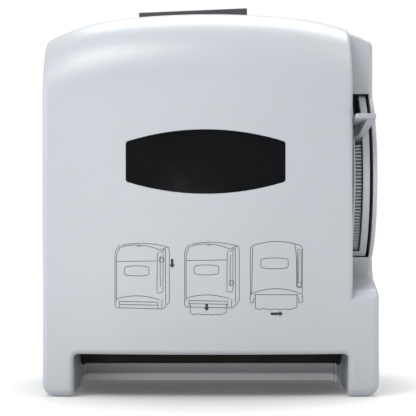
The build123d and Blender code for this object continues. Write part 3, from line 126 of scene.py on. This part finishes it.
class Shader:
    """A node material with a Principled surface, and short calls for what feeds it."""

    def __init__(self, name, colour, roughness, metallic=0.0, **sockets):
        self.material = bpy.data.materials.new(name)
        self.material.use_nodes = True
        self.tree = self.material.node_tree
        self.surface = self.tree.nodes["Principled BSDF"]
        self.set("Base Color", (*colour, 1.0))
        self.set("Roughness", roughness)
        self.set("Metallic", metallic)
        for key, value in sockets.items():
            self.set(key.replace("_", " "), value)
        coordinates = self.tree.nodes.new("ShaderNodeTexCoord")
        self.place = coordinates.outputs["Object"]
        self.normal = None

    def soften_edges(self, radius):
        """Rounds the shading over sharp edges, as a mould or a deburred edge leaves them."""
        node = self.tree.nodes.new("ShaderNodeBevel")
        node.samples = EDGE_SAMPLES
        node.inputs["Radius"].default_value = radius
        self.normal = node.outputs["Normal"]
        self.feed(self.normal, "Normal")

    def set(self, socket, value):
        """Sets a value on the surface's own socket."""
        self.surface.inputs[socket].default_value = value

    def stretched(self, scale):
        """Object coordinates scaled by axis, for grain that runs one way."""
        mapping = self.tree.nodes.new("ShaderNodeMapping")
        mapping.inputs["Scale"].default_value = scale
        self.tree.links.new(self.place, mapping.inputs["Vector"])
        return mapping.outputs["Vector"]

    def noise(self, scale, detail=2.0, roughness=0.5, place=None):
        """A noise texture's value over the piece."""
        node = self.tree.nodes.new("ShaderNodeTexNoise")
        node.inputs["Scale"].default_value = scale
        node.inputs["Detail"].default_value = detail
        node.inputs["Roughness"].default_value = roughness
        self.tree.links.new(place or self.place, node.inputs["Vector"])
        return node.outputs["Fac"]

    def ramp(self, value, stops):
        """A colour ramp over a value, from a list of positions and colours."""
        node = self.tree.nodes.new("ShaderNodeValToRGB")
        elements = node.color_ramp.elements
        while len(elements) < len(stops):
            elements.new(1.0)
        for element, (position, colour) in zip(elements, stops):
            element.position = position
            element.color = (*colour, 1.0)
        self.tree.links.new(value, node.inputs["Fac"])
        return node.outputs["Color"]

    def spread(self, value, low, high, start=0.3, end=0.7):
        """A value mapped from one range to another."""
        node = self.tree.nodes.new("ShaderNodeMapRange")
        for socket, number in (
            ("From Min", start), ("From Max", end), ("To Min", low), ("To Max", high),
        ):
            node.inputs[socket].default_value = number
        self.tree.links.new(value, node.inputs["Value"])
        return node.outputs["Result"]

    def openness(self, reach):
        """How open a spot lies: 1 on free faces, towards 0 deep in a gap."""
        node = self.tree.nodes.new("ShaderNodeAmbientOcclusion")
        node.samples = OPENNESS_SAMPLES
        node.inputs["Distance"].default_value = reach
        return node.outputs["AO"]

    def height(self, low, high):
        """The height on the piece, as 0 to 1 between two levels in metres."""
        node = self.tree.nodes.new("ShaderNodeSeparateXYZ")
        self.tree.links.new(self.place, node.inputs["Vector"])
        return self.spread(node.outputs["Z"], 0.0, 1.0, low, high)

    def feed(self, output, socket):
        """Connects an output to one of the surface's sockets."""
        self.tree.links.new(output, self.surface.inputs[socket])

    def bump(self, height, strength, distance):
        """Adds a bump on top of the ones before it; distance is in metres."""
        node = self.tree.nodes.new("ShaderNodeBump")
        node.inputs["Strength"].default_value = strength
        node.inputs["Distance"].default_value = distance
        self.tree.links.new(height, node.inputs["Height"])
        if self.normal is not None:
            self.tree.links.new(self.normal, node.inputs["Normal"])
        self.normal = node.outputs["Normal"]
        self.feed(self.normal, "Normal")


def shade(colour, factor):
    """A colour made lighter or darker."""
    return tuple(min(1.0, channel * factor) for channel in colour)


def moulded(name, colour, roughness, grain=0.25, variation=0.03, **sockets):
    """Injection-moulded plastic: slow colour drift, uneven gloss and a fine eroded grain."""
    shader = Shader(name, colour, roughness, **sockets)
    shader.soften_edges(MOULDED_EDGE)
    drift = shader.noise(14.0, detail=3.0)
    shader.feed(
        shader.ramp(drift, [(0.3, shade(colour, 1 - variation)), (0.7, shade(colour, 1 + variation))]),
        "Base Color",
    )
    smears = shader.noise(55.0, detail=4.0, roughness=0.6)
    shader.feed(shader.spread(smears, roughness * 0.88, roughness * 1.14), "Roughness")
    shader.bump(shader.noise(GRAIN_SCALE, detail=1.0), grain, GRAIN_DEPTH)
    shader.bump(shader.noise(WAVE_SCALE), grain * 0.4, WAVE_DEPTH)
    return shader.material


def gear_with_painted_gap_shade(name, colour, gap_shade):
    """Moulded gear plastic, painted dark in the gaps between the teeth as painted shade."""
    shader = Shader(name, colour, 0.4)
    shader.soften_edges(METAL_EDGE)
    # The closed-in gaps between the teeth are painted dark: painted shade.
    shader.feed(shader.ramp(shader.openness(GAP_PAINTED_SHADE_REACH), [(0.42, gap_shade), (0.78, colour)]), "Base Color")
    smears = shader.noise(180.0, detail=4.0, roughness=0.6)
    shader.feed(shader.spread(smears, 0.30, 0.55), "Roughness")
    shader.bump(shader.noise(1800.0), 0.2, GRAIN_DEPTH)
    return shader.material


def outlet_painted_light_and_shade(name, lip, foot_painted_shade, top_painted_light):
    """Outlet plastic with painted light and shade by height: the lip painted bright as painted light, and the
    chute painted darker towards its foot as painted shade and lighter towards its top as painted light.
    """
    shader = Shader(name, lip, 0.42)
    shader.soften_edges(MOULDED_EDGE)
    level = shader.height(0.0, CHUTE_TOP)
    lip_share = LIP_TOP / CHUTE_TOP
    # Painted light and shade by height: the lip is painted bright, the chute's foot painted dark and its top
    # painted light.
    shader.feed(
        shader.ramp(level, [(lip_share, lip), (lip_share + 0.03, foot_painted_shade), (0.8, top_painted_light)]),
        "Base Color",
    )
    dust = shader.noise(60.0, detail=4.0, roughness=0.6)
    shader.feed(shader.spread(dust, 0.36, 0.5), "Roughness")
    shader.bump(shader.noise(GRAIN_SCALE, detail=1.0), 0.25, GRAIN_DEPTH)
    return shader.material


def brushed(name, colour, roughness):
    """Bar, wire or strip steel with fine drawn lines along X."""
    shader = Shader(name, colour, roughness, metallic=1.0)
    lines = shader.noise(1.0, detail=3.0, place=shader.stretched(DRAWN_LINE_SCALE))
    shader.feed(
        shader.ramp(lines, [(0.25, shade(colour, 0.82)), (0.75, shade(colour, 1.12))]), "Base Color"
    )
    shader.feed(shader.spread(lines, roughness * 0.75, roughness * 1.3), "Roughness")
    shader.bump(lines, 0.15, DRAWN_LINE_DEPTH)
    return shader.material


def plated(name, colour, roughness):
    """Zinc or nickel plate with slight crystalline cloudiness."""
    shader = Shader(name, colour, roughness, metallic=1.0)
    shader.soften_edges(METAL_EDGE)
    clouds = shader.noise(260.0, detail=4.0, roughness=0.65)
    shader.feed(
        shader.ramp(clouds, [(0.3, shade(colour, 0.85)), (0.7, shade(colour, 1.1))]), "Base Color"
    )
    shader.feed(shader.spread(clouds, roughness * 0.7, roughness * 1.35), "Roughness")
    shader.bump(clouds, 0.08, 0.00003)
    return shader.material


def grip_rubber(name, colour):
    """Matte rubber with a fine open grain and dusty high spots."""
    shader = Shader(name, colour, 0.78)
    grain = shader.noise(1500.0, detail=3.0)
    dust = shader.noise(45.0, detail=5.0, roughness=0.7)
    shader.feed(
        shader.ramp(dust, [(0.35, colour), (0.8, shade(colour, 1.9))]), "Base Color"
    )
    shader.bump(grain, 0.5, 0.00006)
    return shader.material


def smoked_glass(name, colour):
    """The near-black polished window."""
    shader = Shader(name, colour, 0.06, Specular_IOR_Level=0.11)
    haze = shader.noise(30.0, detail=3.0)
    shader.feed(shader.spread(haze, 0.04, 0.11), "Roughness")
    shader.bump(shader.noise(9.0, detail=1.0), 0.05, 0.0004)
    return shader.material


def printing_ink(name, colour):
    """Screen-printed ink: flat, slightly uneven in cover."""
    shader = Shader(name, colour, 0.5)
    cover = shader.noise(900.0, detail=3.0)
    shader.feed(
        shader.ramp(cover, [(0.3, colour), (0.75, shade(colour, 1.25))]), "Base Color"
    )
    return shader.material


SHELL = (0.370, 0.391, 0.418)
# The shell's own grey made a little darker as painted shade, for the guides in the notch.
SHELL_GREY_PAINTED_SHADE = (0.352, 0.370, 0.395)
SMOKE = (0.003, 0.0033, 0.004)
WALL_PLATE_GREY = (0.040, 0.042, 0.046)
# The outlet's greys are painted light and shade: a lip painted bright, a chute painted dark at its foot and
# light at its top.
OUTLET_LIP_PAINTED_LIGHT = (0.93, 0.94, 0.96)
CHUTE_FOOT_PAINTED_SHADE = (0.44, 0.45, 0.47)
CHUTE_TOP_PAINTED_LIGHT = (0.86, 0.875, 0.90)
BLACK = (0.004, 0.004, 0.0045)
LINE_INK = (0.055, 0.057, 0.062)
# The shell's own grey made darker as painted shade, for the lever.
LEVER_SHELL_GREY_PAINTED_SHADE = (0.290, 0.304, 0.325)
GEAR_GREY = (0.52, 0.53, 0.55)
# The painted shade in the gaps between the gear teeth.
GEAR_GAP_PAINTED_SHADE = (0.008, 0.008, 0.008)
ARM_GREY = (0.16, 0.165, 0.175)
ZINC_SHEET = (0.52, 0.53, 0.54)
GROUND_STEEL = (0.62, 0.62, 0.63)
SPRING_STEEL = (0.34, 0.34, 0.35)
BLADE_STEEL = (0.60, 0.60, 0.61)
ZINC = (0.56, 0.56, 0.55)
BRONZE = (0.48, 0.31, 0.14)
CORE_GREY = (0.07, 0.07, 0.075)
RUBBER = (0.028, 0.028, 0.029)
NICKEL = (0.60, 0.59, 0.57)

slot_materials = {
    "cover_shell": moulded(
        "shell plastic", SHELL, 0.38, grain=0.18, variation=0.012, Coat_Weight=0.10, Coat_Roughness=0.35
    ),
    "smoked_lens": smoked_glass("smoked window", SMOKE),
    "base_plastic": moulded("wall plate plastic", WALL_PLATE_GREY, 0.5, grain=0.5, variation=0.10),
    # The outlet's lip and chute colours are painted light and shade.
    "tray_plastic": outlet_painted_light_and_shade("outlet plastic with painted light and shade", OUTLET_LIP_PAINTED_LIGHT, CHUTE_FOOT_PAINTED_SHADE, CHUTE_TOP_PAINTED_LIGHT),
    "black_plastic": moulded(
        "black plastic", BLACK, 0.5, grain=0.5, variation=0.15, Specular_IOR_Level=0.15
    ),
    # The guides are the shell's grey with painted shade.
    "guide_plastic": moulded("guide plastic", SHELL_GREY_PAINTED_SHADE, 0.42),
    # The lever is the shell's grey with painted shade.
    "lever_plastic": moulded("lever plastic", LEVER_SHELL_GREY_PAINTED_SHADE, 0.38, variation=0.015),
    # The gear's tooth gaps carry painted shade.
    "gear_plastic": gear_with_painted_gap_shade("gear plastic with painted gap shade", GEAR_GREY, GEAR_GAP_PAINTED_SHADE),
    "arm_plastic": moulded("arm plastic", ARM_GREY, 0.45, variation=0.05),
    "frame_steel": plated("zinc sheet", ZINC_SHEET, 0.32),
    "bright_steel": brushed("ground bar", GROUND_STEEL, 0.22),
    "spring_steel": brushed("spring wire", SPRING_STEEL, 0.3),
    "blade_steel": brushed("blade steel", BLADE_STEEL, 0.25),
    "zinc_screws": plated("zinc screws", ZINC, 0.28),
    "bronze_bush": plated("sintered bronze", BRONZE, 0.42),
    "roller_core": moulded("roller core plastic", CORE_GREY, 0.5, variation=0.08),
    "roller_rubber": grip_rubber("grip rubber", RUBBER),
    "lock_metal": plated("nickel plate", NICKEL, 0.18),
}

for subpart in frame["record"]["subparts"]:
    node = nodes[subpart["node"]]
    node.data.materials.clear()
    node.data.materials.append(slot_materials[subpart["material_slot"]])


# ---------------------------------------------------------------- printed pictures on the cover


def crown_y(x):
    """The row-frame Y of the cover's front face, in millimetres, at a place across it."""
    depth = CROWN_RADIUS - CROWN_HEIGHT - math.sqrt(CROWN_RADIUS**2 - x**2)
    return depth - CASING_DEPTH_SHIFT


def on_cover(x, z, lift):
    """A point on the cover's front, lifted off it, in metres."""
    return Vector((x * MM, (crown_y(x) - lift) * MM, z * MM))


def divided(points):
    """A polyline with extra points, so that a stroke can follow the cover's bend."""
    out = [points[0]]
    for (x0, z0), (x1, z1) in zip(points, points[1:]):
        count = max(1, math.ceil(math.hypot(x1 - x0, z1 - z0) / INK_STEP))
        for index in range(1, count + 1):
            share = index / count
            out.append((x0 + (x1 - x0) * share, z0 + (z1 - z0) * share))
    return out


def add_stroke(mesh, points):
    """Adds a closed ribbon of ink along a polyline on the cover."""
    points = divided(points)
    rings = []
    for index, (x, z) in enumerate(points):
        before = points[max(index - 1, 0)]
        after = points[min(index + 1, len(points) - 1)]
        run = Vector((after[0] - before[0], after[1] - before[1])).normalized()
        side = Vector((-run.y, run.x)) * INK_WIDTH / 2
        corners = ((1, INK_LIFT), (-1, INK_LIFT), (-1, -INK_LIFT), (1, -INK_LIFT))
        rings.append([
            mesh.verts.new(on_cover(x + sign * side.x, z + sign * side.y, lift))
            for sign, lift in corners
        ])
    for first, second in zip(rings, rings[1:]):
        for corner in range(4):
            following = (corner + 1) % 4
            mesh.faces.new((first[corner], first[following], second[following], second[corner]))
    mesh.faces.new(reversed(rings[0]))
    mesh.faces.new(rings[-1])


def add_patch(mesh, outline):
    """Adds a filled shape of ink with straight edges on the cover."""
    top = [mesh.verts.new(on_cover(x, z, ARROW_LIFT)) for x, z in outline]
    low = [mesh.verts.new(on_cover(x, z, -INK_LIFT)) for x, z in outline]
    mesh.faces.new(top)
    mesh.faces.new(reversed(low))
    for index in range(len(outline)):
        following = (index + 1) % len(outline)
        mesh.faces.new((top[following], top[index], low[index], low[following]))


def arc(left, right, rise):
    """A bow between two points, rising in the middle."""
    points = []
    for index in range(ARC_STEPS + 1):
        share = index / ARC_STEPS
        x = left[0] + (right[0] - left[0]) * share
        z = left[1] + (right[1] - left[1]) * share + rise * 4 * share * (1 - share)
        points.append((x, z))
    return points


def rounded_box(x0, x1, z0, z1, radius, bow=0.0):
    """A closed rounded rectangle whose top and bottom can bow outwards."""
    points = []
    corners = (
        (x1 - radius, z0 + radius, -90), (x1 - radius, z1 - radius, 0),
        (x0 + radius, z1 - radius, 90), (x0 + radius, z0 + radius, 180),
    )
    for x, z, start in corners:
        for step in range(CORNER_POINTS):
            angle = math.radians(start + step * 90 / (CORNER_POINTS - 1))
            points.append((x + radius * math.cos(angle), z + radius * math.sin(angle)))
    middle = (x0 + x1) / 2
    half = (x1 - x0) / 2
    top_start = 2 * CORNER_POINTS - 1
    bottom_start = 4 * CORNER_POINTS - 1
    bowed = []
    for index, (x, z) in enumerate(points):
        bowed.append((x, z))
        if index in (top_start, bottom_start):
            end = points[(index + 1) % len(points)]
            sign = 1 if index == top_start else -1
            for share in BOW_SHARES:
                x_mid = x + (end[0] - x) * share
                lift = bow * (1 - ((x_mid - middle) / half) ** 2)
                bowed.append((x_mid, z + sign * lift))
    return bowed + [bowed[0]]


def placed(points, origin):
    """A drawing's points moved to their place on the cover."""
    return [(x + origin[0], z + origin[1]) for x, z in points]


def torn_towel(left, right, top, bottom):
    """A hanging towel with a torn lower edge."""
    edge = [(left + (right - left) * share, bottom + drop) for share, drop in TORN_EDGE]
    return [(left, top)] + edge + [(right, top)]


def cabinet_three_quarter(lever_level):
    """The strokes of a generic dispenser seen from its right, in millimetres from its lower left."""
    front_left = [(4.6, 60.0), (0.6, 55.0), (0.0, 51.0), (0.0, 2.0), (1.2, 0.4), (4.0, 0.0), (4.0, 6.4)]
    front_top = arc((5.2, 58.0), (43.0, 55.5), 3.4)
    back_top = arc((6.6, 60.0), (51.2, 58.0), 2.8)
    side = [(51.2, 58.0), (52.0, 55.0), (52.0, 6.0), (47.2, 0.6), (45.4, -0.8), (31.0, -0.4)]
    side_fold = [(48.2, 56.4), (48.6, 4.0)]
    lid_line = [(1.4, 44.5), (40.0, 45.0)]
    left_fold = [(5.2, 58.0), (2.2, 53.0), (1.4, 48.0), (1.4, 6.0)]
    window = rounded_box(9.0, 32.5, 31.5, 39.5, 2.0, bow=0.8)
    slot = [(42.2, 54.0), (40.6, 51.0), (40.2, 18.0), (40.4, 14.4), (45.0, 14.8), (46.0, 17.4), (46.0, 54.0)]
    slot_inner = [(43.6, 50.0), (43.2, 34.0), (43.8, 20.0)]
    handle = rounded_box(42.4, 46.6, lever_level, lever_level + HANDLE_HEIGHT, 0.8)
    brow = arc((1.4, 8.6), (42.6, 8.0), 3.4)
    outlet = [(4.0, 6.4), (41.2, 5.6), (41.2, -0.4), (44.6, -0.8), (45.0, 8.0)]
    bar = [(4.6, 3.4), (40.8, 2.8)]
    sill = [(4.0, 0.2), (41.2, -0.6)]
    key = [(21.0, 59.2), (25.0, 59.2)]
    top_edge = [(43.0, 55.5), (50.6, 58.4)]
    shoulder = [(43.4, 53.2), (48.2, 56.4)]
    return [
        front_left, front_top, back_top, side, side_fold, lid_line, left_fold, window, slot, slot_inner,
        handle, brow, outlet, bar, sill, key, top_edge, shoulder,
    ]


def cabinet_front():
    """The strokes of a generic dispenser seen from the front, in millimetres from its lower left."""
    left = [(2.4, 60.0), (0.4, 57.6), (0.6, 12.0), (0.0, 9.0), (0.6, 6.2), (3.2, 5.6), (4.0, 11.0)]
    right = [(48.8, 60.0), (50.4, 57.4), (50.0, 12.0), (50.6, 9.0), (50.0, 6.2), (47.0, 5.6), (46.4, 11.0)]
    top = arc((2.4, 60.0), (48.8, 60.0), 4.2)
    fold_left = [(2.6, 58.6), (1.8, 17.0), (1.0, 13.4)]
    fold_right = [(43.0, 62.2), (44.6, 48.0), (44.8, 21.0)]
    window = rounded_box(10.4, 36.6, 39.0, 47.6, 2.0, bow=0.9)
    slot = rounded_box(45.4, 49.2, 20.0, 56.4, 0.8)
    slot_line = [(47.0, 54.0), (46.6, 26.0)]
    handle = rounded_box(44.8, 49.0, 21.0, 25.0, 0.7)
    brow = arc((1.4, 14.4), (49.4, 14.0), 5.0)
    mouth = [(4.0, 13.6), (46.4, 13.2)]
    return [left, right, top, fold_left, fold_right, window, slot, slot_line, handle, brow, mouth]


def arrow_outline(tail, tip):
    """A straight block arrow."""
    start = Vector(tail)
    end = Vector(tip)
    run = (end - start).normalized()
    side = Vector((-run.y, run.x))
    neck = end - run * ARROW_HEAD_LENGTH
    half_shaft = side * ARROW_SHAFT / 2
    half_head = side * ARROW_HEAD / 2
    corners = [
        start + half_shaft, start - half_shaft, neck - half_shaft, neck - half_head,
        end, neck + half_head, neck + half_shaft,
    ]
    return [(corner.x, corner.y) for corner in corners]


def printed_object(name, mesh, ink):
    """Makes an object of a bmesh, in place, that rides on the cover."""
    bmesh.ops.recalc_face_normals(mesh, faces=mesh.faces)
    data = bpy.data.meshes.new(name)
    mesh.to_mesh(data)
    mesh.free()
    data.materials.append(ink)
    made = bpy.data.objects.new(name, data)
    bpy.context.scene.collection.objects.link(made)
    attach(made, "cover")


def usage_pictures():
    """Three line drawings of how the dispenser is used, and their arrows."""
    lines = bmesh.new()
    drawings = (
        (cabinet_three_quarter(LEVER_UP), FIRST_ORIGIN),
        (cabinet_three_quarter(LEVER_DOWN), SECOND_ORIGIN),
        (cabinet_front(), THIRD_ORIGIN),
        ([torn_towel(left=5.4, right=39.6, top=3.0, bottom=-6.0)], SECOND_ORIGIN),
        ([torn_towel(left=5.2, right=45.0, top=13.2, bottom=0.4)], THIRD_ORIGIN),
    )
    for strokes, origin in drawings:
        for stroke in strokes:
            add_stroke(lines, placed(stroke, origin))
    printed_object("usage_pictures", lines, printing_ink("grey line ink", LINE_INK))

    arrows = bmesh.new()
    for tail, tip in ARROWS:
        add_patch(arrows, arrow_outline(tail, tip))
    printed_object("usage_arrows", arrows, printing_ink("black arrow ink", BLACK))


usage_pictures()


# ---------------------------------------------------------------- stage


def row_y(depth):
    """The row-frame Y, in metres, of a depth behind the cover's side edges in millimetres."""
    return (depth - CASING_DEPTH_SHIFT) * MM


def make_camera():
    """A level camera in front of the dispenser."""
    data = bpy.data.cameras.new("camera")
    data.lens = LENS_MM
    data.sensor_width = SENSOR_MM
    data.clip_end = CAMERA_REACH
    camera = bpy.data.objects.new("camera", data)
    camera.location = (CAMERA_X * MM, row_y(-CAMERA_DISTANCE), CAMERA_HEIGHT * MM)
    camera.rotation_euler = (math.radians(90), 0, 0)
    bpy.context.scene.collection.objects.link(camera)
    bpy.context.scene.camera = camera


def make_floor():
    """A floor that is grey near the dispenser, so that it takes a shadow, and glows white further out."""
    mesh = bmesh.new()
    reach = FLOOR_HALF_SIZE
    corners = ((-reach, -reach), (reach, -reach), (reach, reach), (-reach, reach))
    mesh.faces.new([mesh.verts.new((x, y, 0)) for x, y in corners])
    data = bpy.data.meshes.new("floor")
    mesh.to_mesh(data)
    mesh.free()
    grey = (FLOOR_SHADE, FLOOR_SHADE, FLOOR_SHADE)
    paper = Shader("floor paper", grey, 0.7, Specular_IOR_Level=0.0)
    grain = paper.noise(3.0)
    paper.feed(paper.ramp(grain, [(0.3, shade(grey, 0.995)), (0.7, shade(grey, 1.005))]), "Base Color")
    distance = paper.tree.nodes.new("ShaderNodeVectorMath")
    distance.operation = "LENGTH"
    paper.tree.links.new(paper.place, distance.inputs[0])
    paper.set("Emission Color", WHITE)
    paper.feed(
        paper.spread(
            distance.outputs["Value"], FLOOR_GLOW_NEAR, FLOOR_GLOW_FAR, FLOOR_GLOW_START, FLOOR_GLOW_END
        ),
        "Emission Strength",
    )
    data.materials.append(paper.material)
    floor = bpy.data.objects.new("floor", data)
    bpy.context.scene.collection.objects.link(floor)


def make_light(name, place, target, size, power):
    """A rectangular soft white light aimed at a point, in metres and watts."""
    data = bpy.data.lights.new(name, "AREA")
    data.shape = "RECTANGLE"
    data.size, data.size_y = size
    data.energy = power
    light = bpy.data.objects.new(name, data)
    light.location = place
    light.rotation_euler = (Vector(target) - Vector(place)).to_track_quat("-Z", "Y").to_euler()
    bpy.context.scene.collection.objects.link(light)


def make_world():
    """An even surround: white behind the dispenser, dimmer as a light on it."""
    world = bpy.data.worlds.new("studio")
    bpy.context.scene.world = world
    world.use_nodes = True
    tree = world.node_tree
    lighting = tree.nodes["Background"]
    lighting.inputs["Color"].default_value = WHITE
    lighting.inputs["Strength"].default_value = SURROUND_LIGHT
    seen = tree.nodes.new("ShaderNodeBackground")
    seen.inputs["Color"].default_value = WHITE
    seen.inputs["Strength"].default_value = 1.0
    path = tree.nodes.new("ShaderNodeLightPath")
    choice = tree.nodes.new("ShaderNodeMixShader")
    tree.links.new(path.outputs["Is Camera Ray"], choice.inputs["Fac"])
    tree.links.new(lighting.outputs["Background"], choice.inputs[1])
    tree.links.new(seen.outputs["Background"], choice.inputs[2])
    tree.links.new(choice.outputs["Shader"], tree.nodes["World Output"].inputs["Surface"])


make_camera()
make_floor()
make_world()
make_light("high key", place=(-0.9, -1.2, 2.0), target=(0.0, -0.05, 0.2), size=(1.0, 1.0), power=35.0)
make_light("back top", place=(0.15, 0.9, 1.8), target=(0.0, 0.0, 0.3), size=(1.6, 0.8), power=28.0)
make_light("right top", place=(1.2, -0.5, 1.7), target=(0.1, 0.0, 0.25), size=(0.8, 0.8), power=8.0)
make_light("left side", place=(-2.0, -0.3, 0.8), target=(0.0, 0.0, 0.2), size=(0.8, 1.2), power=10.0)
make_light("low front", place=(-0.5, -2.6, 0.09), target=(0.0, 0.0, 0.06), size=(1.4, 0.14), power=8.0)
bpy.context.scene.view_settings.view_transform = "Standard"
bpy.context.scene.view_settings.look = "None"
